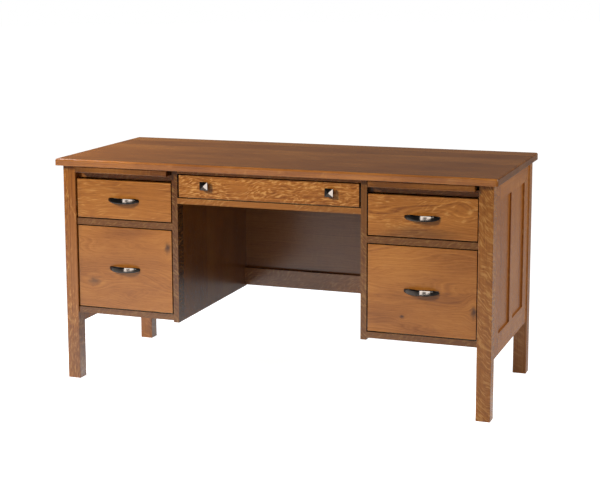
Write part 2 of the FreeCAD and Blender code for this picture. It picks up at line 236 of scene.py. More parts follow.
class Knot(NamedTuple):
    """A knot or a darker patch, one of them a painted shadow: its middle along and across the grain and its
    half sizes, in mm.

    Dark is how far its heart goes to the knot's colour, and draw how far it draws the rings to itself.
    """

    along: float
    across: float
    half_length: float
    half_width: float
    dark: float
    draw: float = 0.85


class Coat(NamedTuple):
    """How much of the wood's colour stays on end grain, edges and faces, and the lacquer's gloss. End grain
    keeps less as it soaks up more stain; shares below one elsewhere are darker stain or painted shade, as
    noted at each coat.
    """

    end: float = 0.5
    edge: float = 1.0
    face: float = 1.0
    lacquer: float = 0.45


def timber_group(oak):
    """The pattern of a sawn board, shared by every wood here.

    Place runs along the grain, across the face and through the board. Growth rings are noise along
    one line, read at the place across the board plus a slow wander, so they run as near-straight
    lines on quarter-sawn wood and as flames where the wander is wide. Vessels draw long streaks,
    slow noise makes clouds, and each glued-up board has its own tone. Ray flecks are wisps that
    cross the grain at a slant, swayed by slow noise, in patches. Arrises are paler, as rubbed wear
    and as a painted highlight along the edges.
    """
    tree = bpy.data.node_groups.new("sawn_timber", "ShaderNodeTree")
    sockets = {"Place": "Vector", "Pale": "Color", "Body": "Color", "Deep": "Color", "Ray": "Color"}
    for name in Figure._fields:
        sockets[name.capitalize()] = "Vector" if name == "fleck" else "Float"
    for name, kind in sockets.items():
        tree.interface.new_socket(name, in_out="INPUT", socket_type="NodeSocket" + kind)
    for name, kind in (("Colour", "Color"), ("Roughness", "Float"), ("Height", "Float")):
        tree.interface.new_socket(name, in_out="OUTPUT", socket_type="NodeSocket" + kind)
    add = adder(tree)
    given = add("NodeGroupInput")

    # Each board of a glued-up width has its own tone and its own stretch of grain
    flat = add("SeparateXYZ", (given["Place"],))
    count = add("Math", (flat["Y"], given["Board"]), "DIVIDE")[0]
    board = add("Math", (count,), "FLOOR")[0]
    chance = add("TexWhiteNoise", {"W": board}, noise_dimensions="1D")
    farthest = (3.0, 0.0, 1.0)
    jump = add("VectorMath", (chance["Color"], farthest), "MULTIPLY")[0]
    place = add("VectorMath", (given["Place"], jump), "ADD")[0]

    # Noises by the size of their blobs, in millimetres along, across and through the board, their detail
    # and their roughness. A real vessel is about 0.2 mm wide; it is drawn 2.4 mm wide so that it shows.
    grains = {
        "drift": ((420, 90, 120), 1.5, 0.5),
        "streaks": ((210, 2.4, 2.4), 4.0, 0.6),
        "pores": ((22, 1.5, 1.5), 1.0, 0.5),
        "clouds": ((300, 85, 85), 3.0, 0.5),
        "patches": ((190, 60, 60), 1.0, 0.5),
        "sway": ((120, 55, 120), 1.0, 0.5),
    }
    noise = {}
    for name, (size, detail, roughness) in grains.items():
        scale = [1 / (part * MM) for part in size]
        fitted = add("Mapping", {"Vector": place, "Scale": scale})[0]
        looks = {"Vector": fitted, "Scale": 1.0, "Detail": detail, "Roughness": roughness}
        noise[name] = add("TexNoise", looks)
    streaks = noise["streaks"][0]

    # Growth rings, which lie at a slope through the board
    slope = 0.7
    axes = add("SeparateXYZ", (place,))
    drift = add("Math", (noise["drift"][0], 0.5), "SUBTRACT")[0]
    face = add("Math", (axes["Z"], slope, axes["Y"]), "MULTIPLY_ADD")[0]
    line = add("Math", (drift, given["Wander"], face), "MULTIPLY_ADD")[0]
    line = add("Math", (line, oak.ring), "DIVIDE")[0]
    looks = {"W": line, "Scale": 1.0, "Detail": 2.0, "Roughness": 0.6}
    rings = add("TexNoise", looks, noise_dimensions="1D")[0]

    # Ray flecks: wisps in patches, each pale wisp with a dark one beside it. A dense figure has both
    # more wisps and, by the factor spread, wider patches of them.
    spread = 3.0
    slow = noise["sway"]["Color"]
    slow = add("VectorMath", (slow, (0.5, 0.5, 0.5)), "SUBTRACT")[0]
    slow = add("VectorMath", {0: slow, "Scale": given["Sway"]}, "SCALE")[0]
    swayed = add("VectorMath", (place, slow), "ADD")[0]
    turn = {"Vector": swayed, "Angle": given["Slant"]}
    turned = add("VectorRotate", turn, rotation_type="Z_AXIS")[0]
    fitted = add("VectorMath", (turned, given["Fleck"]), "DIVIDE")[0]
    looks = {"Vector": fitted, "Scale": 1.0, "Detail": 2.0, "Distortion": 0.4}
    wisps = add("TexNoise", looks)[0]
    patches = add("Math", (given["Dense"], spread, noise["patches"][0]), "MULTIPLY_ADD")[0]
    patches = add("MapRange", (patches, 0.38, 0.56), **SMOOTH)[0]
    patches = add("Math", (patches, given["Rays"]), "MULTIPLY")[0]
    lean = add("Math", (wisps, 0.5), "SUBTRACT")[0]
    shimmer = add("Math", (lean, patches), "MULTIPLY")[0]
    thick = add("Math", (wisps, given["Dense"]), "ADD")[0]
    thick = add("MapRange", (thick, 0.54, 0.7), **SMOOTH)[0]
    flecks = add("Math", (thick, patches), "MULTIPLY", use_clamp=True)[0]

    # Tone runs from deep at nought to pale at one, and each part of the pattern shifts it from the middle
    wisp_tone, board_tone, pore_tone = 2.2, 0.26, -0.16
    tone = add("Math", (shimmer, wisp_tone, 0.5), "MULTIPLY_ADD")[0]
    parts = [(rings, given["Rings"]), (streaks, given["Streaks"]), (noise["clouds"][0], given["Clouds"])]
    for pattern, share in (*parts, (chance["Value"], board_tone)):
        centred = add("Math", (pattern, 0.5), "SUBTRACT")[0]
        tone = add("Math", (centred, share, tone), "MULTIPLY_ADD")[0]
    pits = add("MapRange", (noise["pores"][0], 0.58, 0.7), **SMOOTH)[0]
    tone = add("Math", (pits, pore_tone, tone), "MULTIPLY_ADD")[0]

    low = add("MapRange", (tone, 0.15, 0.5))[0]
    high = add("MapRange", (tone, 0.5, 0.85))[0]
    wood = add("Mix", {0: low, 6: given["Deep"], 7: given["Body"]}, data_type="RGBA")[2]
    wood = add("Mix", {0: high, 6: wood, 7: given["Pale"]}, data_type="RGBA")[2]
    wood = add("Mix", {0: flecks, 6: wood, 7: given["Ray"]}, data_type="RGBA")[2]
    # Paler arrises: rubbed wear, and a painted highlight along the edges
    paler_arris = paler_arrises(add, oak.arris, 0.85, given["Wear"])
    wood = add("Mix", {0: paler_arris, 6: wood, 7: given["Pale"]}, data_type="RGBA")[2]

    # Flecks are smooth, streaks are dull and pores are sunk
    satin, fleck_shine, streak_dull, pore_depth = 0.2, -0.06, 0.08, -0.6
    gloss = add("Math", (flecks, fleck_shine, satin), "MULTIPLY_ADD")[0]
    gloss = add("Math", (streaks, streak_dull, gloss), "MULTIPLY_ADD")[0]
    height = add("Math", (pits, pore_depth, streaks), "MULTIPLY_ADD")[0]
    add("NodeGroupOutput", {"Colour": wood, "Roughness": gloss, "Height": height})


def timber(name, lies, seed, figure, colours, knots=(), coat=Coat(), crossed=None):
    """A wood material: lies gives the frame's axes along the grain, across the face and through the board.

    Faces that look along the grain's axis show end grain, unless crossed gives other axes for them.
    A face's colour is scaled by the mean of the coat's shares, weighted by the squares of the normal's parts:
    stain, and in places painted shade.
    A knot draws the rings round itself: the place across the grain is squeezed towards the knot's
    middle, by an amount that dies away with distance, and its heart is darkened.
    """
    material = bpy.data.materials.new(name)
    material.use_nodes = True
    add = adder(material.node_tree)
    axes = add("SeparateXYZ", (add("TexCoord")["Object"],))
    place = add("CombineXYZ", [axes[axis] for axis in lies])[0]
    facing = add("SeparateXYZ", (add("NewGeometry")["Normal"],))
    facing = add("CombineXYZ", [facing[axis] for axis in lies])[0]
    facing = add("VectorMath", (facing, facing), "MULTIPLY")[0]
    if crossed:
        along = add("SeparateXYZ", (facing,))["X"]
        along = add("Math", (along, 0.5), "GREATER_THAN")[0]
        other = add("CombineXYZ", [axes[axis] for axis in crossed])[0]
        place = add("Mix", {0: along, 4: place, 5: other}, data_type="VECTOR")[1]

    # Distance from a knot is counted in its half sizes, and noise makes its outline ragged
    ragged = 0.9
    hearts = []
    for knot in knots:
        middle = (-knot.along * MM, -knot.across * MM, 0.0)
        offset = add("VectorMath", (place, middle), "ADD")[0]
        scale = (1 / (knot.half_length * MM), 1 / (knot.half_width * MM), 0.0)
        fitted = add("VectorMath", (offset, scale), "MULTIPLY")[0]
        rough = add("TexNoise", {"Vector": fitted, "Scale": 1.6, "Detail": 3.0})[0]
        far = add("VectorMath", (fitted,), "LENGTH")["Value"]
        far = add("Math", (rough, ragged, far), "MULTIPLY_ADD")[0]
        pull = add("MapRange", (far, 3.4, 0.6, 0.0, -knot.draw), **SMOOTH)[0]
        across = add("VectorMath", (offset, (0, 1, 0)), "MULTIPLY")[0]
        squeeze = add("VectorMath", {0: across, "Scale": pull}, "SCALE")[0]
        hearts.append(add("MapRange", (far, 1.5, 0.5, 0.0, knot.dark), **SMOOTH)[0])
        place = add("VectorMath", (place, squeeze), "ADD")[0]

    place = add("Mapping", {"Vector": place, "Location": seed})[0]
    sawn = figure._replace(slant=math.radians(figure.slant))._asdict()
    sawn = {socket.capitalize(): value for socket, value in sawn.items()}
    pattern = bpy.data.node_groups["sawn_timber"]
    board = add("Group", {"Place": place, **colours, **sawn}, node_tree=pattern)
    wood = board["Colour"]
    dark = bpy.context.scene.desk_oak.knot
    for heart in hearts:
        wood = add("Mix", {0: heart, 6: wood, 7: dark}, data_type="RGBA")[2]
    # The coat's shares darken the colour: stain on end grain and on darker pieces, and painted shade in gaps
    # and the kneehole
    shares = (coat.end, coat.edge, coat.face)
    stain_and_shade = add("VectorMath", (facing, shares), "DOT_PRODUCT")["Value"]
    wood = add("VectorMath", {0: wood, "Scale": stain_and_shade}, "SCALE")[0]
    bump = add("Bump", {"Height": board["Height"], "Strength": 0.25, "Distance": 0.3 * MM})[0]
    looks = {"Base Color": wood, "Roughness": board["Roughness"], "Normal": bump}
    lacquer = {"IOR": 1.5, "Specular IOR Level": coat.lacquer}
    surface = add("BsdfPrincipled", {**looks, **lacquer})[0]
    add("OutputMaterial", {"Surface": surface})
    return material


def stained_oak(*boards):
    """White oak, quarter-sawn or plain-sawn, wiped with a warm brown stain under satin lacquer.

    To the eye: an even orange brown, darker in the late wood and the pores, with paler ray flecks
    where the saw ran along the rays, and a soft sheen that lies over all of it. Each row holds a
    finish's name, axes, seed, figure, coat and knots, and the CAD nodes that get it.
    """
    oak = bpy.context.scene.desk_oak
    colours = {"Pale": oak.pale, "Body": oak.body, "Deep": oak.deep, "Ray": oak.ray}
    for name, lies, seed, figure, coat, knots, nodes in boards:
        dress(timber("stained_oak_" + name, lies, seed, figure, colours, knots, coat), *nodes)


def plain_colours(woods, wood):
    """The colours of an unstained wood, whose rays are as pale as its pale part."""
    names = {"Pale": "pale", "Body": "body", "Deep": "deep", "Ray": "pale"}
    return {socket: getattr(woods, f"{wood}_{name}") for socket, name in names.items()}


def metal(name, base, roughness, scratch, bump, worn=None, wear=0.0):
    """A plated metal: fine lines vary its roughness, and arrises are rubbed to its worn colour, if any.

    Scratch is the size of a line along the frame's axes, in mm. Real lines are a tenth as wide or less;
    they are drawn wider so that they show.
    """
    material = bpy.data.materials.new(name)
    material.use_nodes = True
    add = adder(material.node_tree)
    at = add("TexCoord")["Object"]
    fine = [1 / (part * MM) for part in scratch]
    fine = add("Mapping", {"Vector": at, "Scale": fine})[0]
    lines = add("TexNoise", {"Vector": fine, "Scale": 1.0, "Detail": 3.0})[0]
    smudge = add("TexNoise", {"Vector": at, "Scale": 1 / (14 * MM), "Detail": 2.0})[0]
    # Lines and smudges dull the polish by these shares, about the given roughness, and smudges tint it too
    line_dull, smudge_dull, smudge_tint, polish = 0.16, 0.1, 0.3, roughness - 0.12
    dull = add("Math", (lines, line_dull, polish), "MULTIPLY_ADD")[0]
    dull = add("Math", (smudge, smudge_dull, dull), "MULTIPLY_ADD")[0]
    relief = add("Bump", {"Height": lines, "Strength": bump, "Distance": 0.05 * MM})[0]
    looks = {"Base Color": base, "Roughness": dull, "Normal": relief, "Metallic": 1.0}
    if worn is not None:
        paler_arris = paler_arrises(add, 1.2 * MM, 0.8, wear)
        tint = add("Math", (smudge, smudge_tint, paler_arris), "MULTIPLY_ADD", use_clamp=True)[0]
        looks["Base Color"] = add("Mix", {0: tint, 6: base, 7: worn}, data_type="RGBA")[2]
    surface = add("BsdfPrincipled", looks)[0]
    add("OutputMaterial", {"Surface": surface})
    return material


def each_side(*endings):
    """The names of a left and a right node for each ending."""
    return [f"{side}_{ending}" for side in SIDES for ending in endings]


def dress(material, *nodes):
    """Put a material in every slot of these CAD nodes."""
    for name in nodes:
        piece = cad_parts[name]
        if not piece.material_slots:
            piece.data.materials.append(material)
        for slot in piece.material_slots:
            slot.material = material


def angles(sides):
    """The angles of a ring's points, all the way round."""
    return np.linspace(0, 2 * np.pi, sides, endpoint=False)[None, :]


def grid(x, y, z):
    """Points from their coordinates, each of which may run along the rings, round them or both."""
    return np.stack(np.broadcast_arrays(x, y, z), axis=-1)


def ring_grid(rows, columns):
    """The points of a grid of rings by number, the same one step round, and the quads between them."""
    here = np.arange(rows * columns).reshape(rows, columns)
    beside = np.roll(here, -1, axis=1)
    quads = np.stack([here[:-1], here[1:], beside[1:], beside[:-1]], axis=-1).reshape(-1, 4)
    return here, beside, quads


def closed_surface(rings):
    """Points and faces of a grid of rings: quads between neighbours, and a fan to the middle of each end."""
    rows, columns = rings.shape[:2]
    points = np.concatenate([rings.reshape(-1, 3), rings[[0, -1]].mean(axis=1)])
    here, beside, quads = ring_grid(rows, columns)
    first = np.stack([here[0], beside[0], np.full(columns, rows * columns)], axis=-1)
    last = np.stack([beside[-1], here[-1], np.full(columns, rows * columns + 1)], axis=-1)
    # Six times the volume inside, whose sign says which way the faces point
    fans = np.concatenate([quads[:, [0, 1, 2]], quads[:, [0, 2, 3]], first, last])
    corners = points[fans] - points.mean(axis=0)
    volume = np.einsum("ij,ij->", corners[:, 0], np.cross(corners[:, 1], corners[:, 2]))
    step = 1 if volume > 0 else -1
    return points, [part[:, ::step] for part in (quads, first, last)]


def new_piece(name, grids, material, body, node, smooth=True):
    """One object from several closed grids of rings, riding on a body in place of a CAD node."""
    points, faces, start = [], [], 0
    for rings in grids:
        own, parts = closed_surface(rings)
        points.append(own)
        faces.extend(row for part in parts for row in (part + start).tolist())
        start += len(own)
    mesh = bpy.data.meshes.new(name)
    mesh.from_pydata(np.concatenate(points).tolist(), [], faces)
    mesh.polygons.foreach_set("use_smooth", np.full(len(faces), smooth))
    mesh.set_sharp_from_angle(angle=math.radians(CREASE))
    mesh.materials.append(material)
    mesh.update()
    piece = bpy.data.objects.new(name, mesh)
    bpy.context.scene.collection.objects.link(piece)
    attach(piece, body)
    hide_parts(node)


def superellipse(turn, power):
    """Sides of a rounded square: cosine and sine raised to two over the power, keeping their signs."""
    level, rise = np.cos(turn), np.sin(turn)
    return np.sign(level) * np.abs(level) ** (2 / power), np.sign(rise) * np.abs(rise) ** (2 / power)


def bow(half, reach, along):
    """A circular arc on a chord of two halves that stands out by reach: places along and off the chord."""
    radius = (half**2 + reach**2) / (2 * reach)
    angle = along * np.arcsin(half / radius)
    return radius * np.sin(angle), radius * np.cos(angle) - (radius - reach)


def bowed_strap(low, high, face, hardware):
    """A pull: a strap between an outer and an inner arc that share the drawer's face as their chord.

    Each cross-section is a superellipse from the inner arc to the outer one. Its height swells from
    the ends to the middle as one minus the fourth power of the place along the pull, and its outer
    face leans back towards the upper edge. The outer arc stands off the face by the tip's thickness,
    except in the first and last ring, which lie on the face and so close the blunt ends.
    """
    rings, squareness = 97, 4.5
    along = np.concatenate([[-1], np.linspace(-1, 1, rings), [1]])[:, None]
    tip = np.full((rings + 2, 1), hardware.strap_tip)
    tip[[0, -1]] = 0.0
    half, reach = (high.x - low.x) / 2, face - low.y
    outer_x, outer_y = bow(half, reach - hardware.strap_tip, along)
    outer_y = outer_y + tip
    inner_x, inner_y = bow(half - hardware.foot, reach - hardware.strap, along)
    out, up = superellipse(angles(STRAP_SIDES), squareness)
    tall = hardware.strap_end / 2 + ((high.z - low.z) - hardware.strap_end) / 2 * (1 - along**4)
    x = (low.x + high.x) / 2 + (outer_x + inner_x) / 2 + (outer_x - inner_x) / 2 * out
    lean = hardware.strap_lean * (1 + up) / 2 * (1 + out) / 2
    y = face - (outer_y + inner_y) / 2 - (outer_y - inner_y) / 2 * out + lean * (1 - along**2)
    z = (low.z + high.z) / 2 + tall * up
    return grid(x, y, z)


def square_knob(middle, face, half, reach, hardware):
    """A knob: rings along its axis that turn from a round stem to a square plate and a low pyramid.

    Each ring is a superellipse with its own half size and its own power, 2 for round and 40 for
    square, at its own depth from the drawer's face.
    """
    back = reach - hardware.plate - hardware.pyramid
    front = back + hardware.plate
    stem = hardware.stem / 2
    # The rounding of the plate's edges, its middle point, and the rounding where the stem meets the plate
    soft, crisp, neck = 0.5 * MM, 0.15 * MM, 0.4 * MM
    profile = np.array(
        [
            (0.0, stem * 1.12, 2),
            (1.2 * MM, stem, 2),
            (back - neck, stem, 2),
            (back, stem + neck, 2),
            (back, half - soft, 40),
            (back + crisp, half - crisp, 40),
            (back + soft, half, 40),
            (front - soft, half, 40),
            (front - crisp, half - crisp, 40),
            (front, half - soft, 40),
            (reach - 0.35 * MM, 1.9 * MM, 40),
            (reach - 0.1 * MM, 1.4 * MM, 20),
            (reach, 0.7 * MM, 4),
        ]
    )
    depth, size, power = (column[:, None] for column in profile.T)
    wide, tall = superellipse(angles(ROUND_SIDES), power)
    return grid(middle[0] + size * wide, face - depth, middle[1] + size * tall)


def pan_screw(middle, tip, end, hardware):
    """A screw turned about its axis: a plain shank, then a pan head with a cross recess in its crown.

    The crown falls from its middle to its rim with the square of the radius. The recess sinks where
    the place lies near one of two crossed lines, and ends short of the rim.
    """
    turn = angles(ROUND_SIDES)
    shank, head, tall = hardware.shank / 2, hardware.head / 2, hardware.head_height
    crown = [(head * part, end - 0.45 * tall * part**2) for part in np.linspace(1, 0.03, 26)]
    profile = np.array(
        [
            (0.6 * shank, tip),
            (shank, tip + 0.8 * MM),
            (shank, end - tall),
            (0.97 * head, end - tall),
            (head, end - 0.9 * tall),
            *crown,
        ]
    )
    radius, depth = (column[:, None] for column in profile.T)
    x, z = radius * np.cos(turn), radius * np.sin(turn)
    # The recess: half its width and its reach, each with the width of its slope, and its depth
    half, half_slope, reach, reach_slope, sunk = 0.75 * MM, 0.25 * MM, 2.7 * MM, 0.4 * MM, 1.1 * MM
    near = np.minimum(np.abs(x), np.abs(z))
    slot = np.clip((half - near) / half_slope, 0, 1) * np.clip((reach - radius) / reach_slope, 0, 1)
    y = depth - sunk * slot * (depth > end - 0.5 * tall)
    return grid(middle[0] + x, y, middle[1] + z)


class DESK_OT_top(bpy.types.Operator):
    """Finish the glued-up top in stained oak, its boards running along the desk"""

    bl_idname = "desk.top"
    bl_label = "Top"

    def execute(self, context):
        figure = Figure(board=0.118, wander=0.05, rings=0.5, streaks=0.8, clouds=0.6, rays=0.14, slant=87)
        figure = figure._replace(fleck=(0.005, 0.06, 0.06), wear=0.5)
        # The top's upper face is painted darker and its front and back edges a little lighter than one stain
        # gives: painted shade and painted light
        stained_oak(("top", "XYZ", (0.3, 0.0, 0.2), figure, Coat(edge=1.03, face=0.8), (), ["desk_top"]))
        return {"FINISHED"}


class DESK_OT_frame(bpy.types.Operator):
    """Finish legs, rails and stiles in stained oak, the grain along each piece"""

    bl_idname = "desk.frame"
    bl_label = "Legs, rails and stiles"

    def execute(self, context):
        # Hair-like wisps all the way down the right leg, short upright dashes on the left one
        wispy = Figure(wander=0.012, rings=0.25, streaks=0.5, clouds=0.4, rays=0.4, slant=-45, sway=0.045)
        wispy = wispy._replace(dense=0.05, fleck=(0.0048, 0.026, 0.026))
        dashed = Figure(wander=0.012, streaks=0.7, clouds=0.6, rays=0.42, slant=85, dense=0.02)
        dashed = dashed._replace(fleck=(0.006, 0.02, 0.02))
        upright = Figure(wander=0.012, rays=0.5, slant=-40, dense=0.03, fleck=(0.005, 0.022, 0.022))
        level = Figure(wander=0.012, rays=0.3, slant=60, dense=0.02, fleck=(0.005, 0.022, 0.022))
        plain = Figure(wander=0.015, rays=0.2, slant=-30)

        # The narrow front pieces of the pedestals took more stain than the drawers between them. Their edges,
        # which face the gaps between pieces and the kneehole, are darkened further as painted shade.
        leg = Coat(edge=0.83, face=0.83)
        deep = Coat(end=0.25, edge=0.25, face=0.43)
        set_back = Coat(edge=0.4, face=0.95)
        light = Coat(edge=0.35, face=0.82)
        # Painted shade: the back rails, the kneehole's foot rail among them, are darkened to the dark
        # kneehole
        painted_back_shade = Coat(edge=0.54, face=0.54)
        satin = Coat(lacquer=0.32)

        # Darker patches: at the left leg's foot and at the apron's right. The patch at the right slide rail's
        # left end is a painted shadow, where the key light reaches in under the slide.
        foot = (Knot(60, -705, 260, 120, 0.35, 0.0),)
        painted_shadow_patch = (Knot(352, 718, 55, 60, 0.85, 0.0),)
        darker = (Knot(230, 600, 190, 90, 0.3, 0.0),)

        back_legs = ["back_left_leg", "back_right_leg"]
        fronts = each_side("middle_rail", "bottom_rail")
        centre = ["centre_top_rail", "centre_apron"]
        backs = ["back_top_rails", "pedestal_back_rails", "kneehole_back_rail"]
        ends = each_side("end_top_rail", "end_bottom_rail")
        stained_oak(
            ("right_leg", "ZXY", (0.11, 0.0, 0.0), wispy, leg, (), ["front_right_leg"]),
            ("left_leg", "ZXY", (0.57, 0.2, 0.0), dashed, Coat(), foot, ["front_left_leg"]),
            ("back_legs", "ZXY", (0.9, 0.1, 0.4), plain, leg, (), back_legs),
            ("inner_stiles", "ZXY", (0.4, 0.3, 0.0), upright, deep, (), each_side("inner_stile")),
            ("front_rails", "XZY", (0.2, 0.0, 0.7), level, deep, (), fronts),
            ("slide_rails", "XZY", (0.7, 0.0, 0.4), level, set_back, painted_shadow_patch, each_side("slide_rail")),
            ("centre_rails", "XZY", (0.5, 0.1, 0.2), level, light, darker, centre),
            ("back_rails", "XZY", (0.6, 0.0, 0.1), level, painted_back_shade, (), backs),
            ("end_rails", "YZX", (0.1, 0.0, 0.3), plain, satin, (), ends),
            ("end_stiles", "ZYX", (0.8, 0.0, 0.2), plain, satin, (), each_side("end_stiles")),
        )
        return {"FINISHED"}


class DESK_OT_panels(bpy.types.Operator):
    """Finish the panels of the ends, the kneehole and the back in plain-sawn stained oak"""

    bl_idname = "desk.panels"
    bl_label = "Panels"

    def execute(self, context):
        upright = Figure(board=0.19, wander=0.09, rings=0.3, streaks=0.5, rays=0.05)
        calm = Figure(wander=0.06, rings=0.2, streaks=0.35, clouds=0.5, rays=0.0)
        level = Figure(board=0.14, wander=0.09, rings=0.35, rays=0.05)
        satin = Coat(lacquer=0.32)
        # Painted shade: the kneehole's panels and the back panel are darkened to the dark kneehole, the back
        # panel on its outer face too
        shaded = Coat(edge=0.48, face=0.48)
        stained_oak(
            ("end_panels", "ZYX", (0.2, 0.03, 0.1), upright, satin, (), each_side("end_panels")),
            ("kneehole_panels", "ZYX", (0.6, 0.05, 0.3), calm, shaded, (), each_side("inner_panel")),
            ("back_panel", "XZY", (0.4, 0.02, 0.5), level, shaded, (), ["back_panel"]),
        )
        return {"FINISHED"}


class DESK_OT_drawer_fronts(bpy.types.Operator):
    """Finish the five drawer fronts, each sawn its own way"""

    bl_idname = "desk.drawer_fronts"
    bl_label = "Drawer fronts"

    def execute(self, context):
        quiet = Figure(wander=0.06, clouds=0.5, rays=0.3, slant=86, fleck=(0.005, 0.05, 0.05), wear=0.6)
        curly = Figure(wander=0.12, rings=1.0, clouds=0.6, rays=0.4, slant=84, sway=0.06)
        curly = curly._replace(fleck=(0.005, 0.03, 0.03))
        flaky = Figure(wander=0.05, rings=0.5, clouds=0.5, rays=0.6, slant=80, sway=0.05, dense=0.03)
        flaky = flaky._replace(fleck=(0.0046, 0.021, 0.021), wear=0.6)
        cloudy = Figure(wander=0.16, rings=0.45, streaks=0.5, clouds=1.0, rays=0.05, slant=85, wear=0.6)
        # The fronts' sides, tops and bottoms, seen only in the reveals round the drawers, are darkened as
        # painted shade, the end grain past its stain
        edged = Coat(end=0.25, edge=0.35)
        curls = (Knot(640, 668, 26, 20, 0.0), Knot(510, 584, 190, 36, 0.6, 0.0))
        left_knots = (Knot(-637, 350, 34, 20, 0.7), Knot(-358, 483, 16, 26, 0.95))
        right_knots = (Knot(456, 315, 12, 8, 1.0), Knot(687, 346, 15, 28, 0.95))
        fronts = {
            "left_small_drawer_front": (quiet, (0.15, 0.4, 0.0), ()),
            "right_small_drawer_front": (curly, (0.95, 0.1, 0.0), curls),
            "centre_drawer_front": (flaky, (0.35, 0.8, 0.0), ()),
            "left_file_drawer_front": (cloudy, (0.5, 0.2, 0.0), left_knots),
            "right_file_drawer_front": (cloudy, (0.7, 0.6, 0.0), right_knots),
        }
        for front, (figure, seed, knots) in fronts.items():
            stained_oak((front, "XZY", seed, figure, edged, knots, [front]))
        return {"FINISHED"}


class DESK_OT_writing_slides(bpy.types.Operator):
    """Finish the two pull-out writing slides in stained oak, boards running along the desk"""

    bl_idname = "desk.writing_slides"
    bl_label = "Writing slides"

    def execute(self, context):
        figure = Figure(board=0.1, wander=0.08, rings=0.5, streaks=0.7, clouds=1.2)
        # The front and back edges are drawn darker than the faces
        edged = Coat(edge=0.66, face=0.9)
        # Darker patches on the front edges, near the left end of each slide
        darker_patches = (Knot(-680, -305, 90, 25, 0.65, 0.0), Knot(400, -305, 120, 25, 0.7, 0.0))
        slides = each_side("writing_slide")
        stained_oak(("writing_slides", "XYZ", (0.25, 0.05, 0.15), figure, edged, darker_patches, slides))
        return {"FINISHED"}


class DESK_OT_drawer_boxes(bpy.types.Operator):
    """Finish the drawer boxes in hard maple under clear lacquer: cream, close-grained and faintly streaked"""

    bl_idname = "desk.drawer_boxes"
    bl_label = "Drawer boxes"

    def execute(self, context):
        colours = plain_colours(context.scene.desk_timber, "maple")
        figure = Figure(wander=0.06, rings=0.35, streaks=0.5, clouds=0.3, rays=0.0, wear=0.2)
        clear = Coat(end=1.0)
        maple = timber("clear_maple", "YZX", (0.2, 0.1, 0.4), figure, colours, coat=clear, crossed="XZY")
        dress(maple, *(drawer + "_box" for drawer in DRAWERS))
        return {"FINISHED"}


class DESK_OT_runners(bpy.types.Operator):
    """Finish the drawer slides in bright zinc plate and the hidden strips in bare poplar"""

    bl_idname = "desk.runners"
    bl_label = "Slides and strips"

    def execute(self, context):
        # Sawn poplar, left bare: greenish buff and dull
        colours = plain_colours(context.scene.desk_timber, "poplar")
        bare = Coat(end=0.7, lacquer=0.15)
        poplar = timber("bare_poplar", "YZX", (0.3, 0.2, 0.1), Figure(rays=0.0), colours, coat=bare)
        dress(poplar, "slide_cleats", "writing_slide_guides")
        # Rolled strip with bright zinc plate: a cool grey sheen with faint lines along the rolling
        plate = context.scene.desk_hardware.zinc
        zinc = metal("zinc_plated_steel", plate, 0.36, (1.2, 60, 1.2), 0.1)
        slides = [f"{drawer}_slide_{part}" for drawer in DRAWERS for part in ("middles", "runners")]
        dress(zinc, "slide_channels", *slides)
        return {"FINISHED"}


class DESK_OT_pulls(bpy.types.Operator):
    """Make the four bowed strap pulls, in cast metal with polished dark nickel plate"""

    bl_idname = "desk.pulls"
    bl_label = "Pulls"

    def execute(self, context):
        hardware = context.scene.desk_hardware
        # Polished dark nickel: a near-black mirror that goes white only where it meets a lamp
        rubbed = {"worn": hardware.nickel_worn, "wear": 0.5}
        nickel = metal("dark_nickel", hardware.nickel, 0.11, (9, 1.5, 1.5), 0.05, **rubbed)
        for drawer in PULL_DRAWERS:
            node = drawer + "_pull"
            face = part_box(drawer + "_front")[0].y
            strap = bowed_strap(*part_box(node), face, hardware)
            new_piece(drawer + "_strap_pull", [strap], nickel, drawer, node)
        return {"FINISHED"}


class DESK_OT_knobs(bpy.types.Operator):
    """Make the centre drawer's two square pyramid knobs, in the same dark nickel"""

    bl_idname = "desk.knobs"
    bl_label = "Knobs"

    def execute(self, context):
        hardware = context.scene.desk_hardware
        nickel = bpy.data.materials["dark_nickel"]
        body, node = "centre_drawer", "centre_drawer_knobs"
        low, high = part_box(node)
        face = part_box("centre_drawer_front")[0].y
        half = (high.z - low.z) / 2
        places = [(x, low.z + half) for x in (low.x + half, high.x - half)]
        knobs = [square_knob(place, face, half, face - low.y, hardware) for place in places]
        new_piece("centre_drawer_square_knobs", knobs, nickel, body, node, smooth=False)
        return {"FINISHED"}


class DESK_OT_screws(bpy.types.Operator):
    """Make the pan-head screws that hold pulls and knobs from inside the drawers"""

    bl_idname = "desk.screws"
    bl_label = "Screws"

    def execute(self, context):
        hardware = context.scene.desk_hardware
        zinc = bpy.data.materials["zinc_plated_steel"]
        # How far a screw goes into its pull or knob
        bite = 2 * MM
        for drawer in DRAWERS:
            node = drawer + ("_pull" if drawer in PULL_DRAWERS else "_knobs")
            low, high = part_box(node)
            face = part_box(drawer + "_front")[0].y
            half = (high.z - low.z) / 2
            inset = hardware.foot / 2 if drawer in PULL_DRAWERS else half
            places = [(x, low.z + half) for x in (low.x + inset, high.x - inset)]
            screws = [pan_screw(place, face - bite, high.y, hardware) for place in places]
            new_piece(drawer + "_pan_screws", screws, zinc, drawer, node)
        return {"FINISHED"}


class DESK_OT_stage(bpy.types.Operator):
    """Lay the floor, hang the lamps and set the camera as the photograph was taken"""

    bl_idname = "desk.stage"
    bl_label = "Studio"

    def execute(self, context):
        stage = context.scene.desk_stage
        lay_floor(stage)
        hang_lamps(stage)
        light_room(context.scene, stage)
        set_camera(context.scene, stage)
        context.scene.view_settings.view_transform = "Standard"
        return {"FINISHED"}


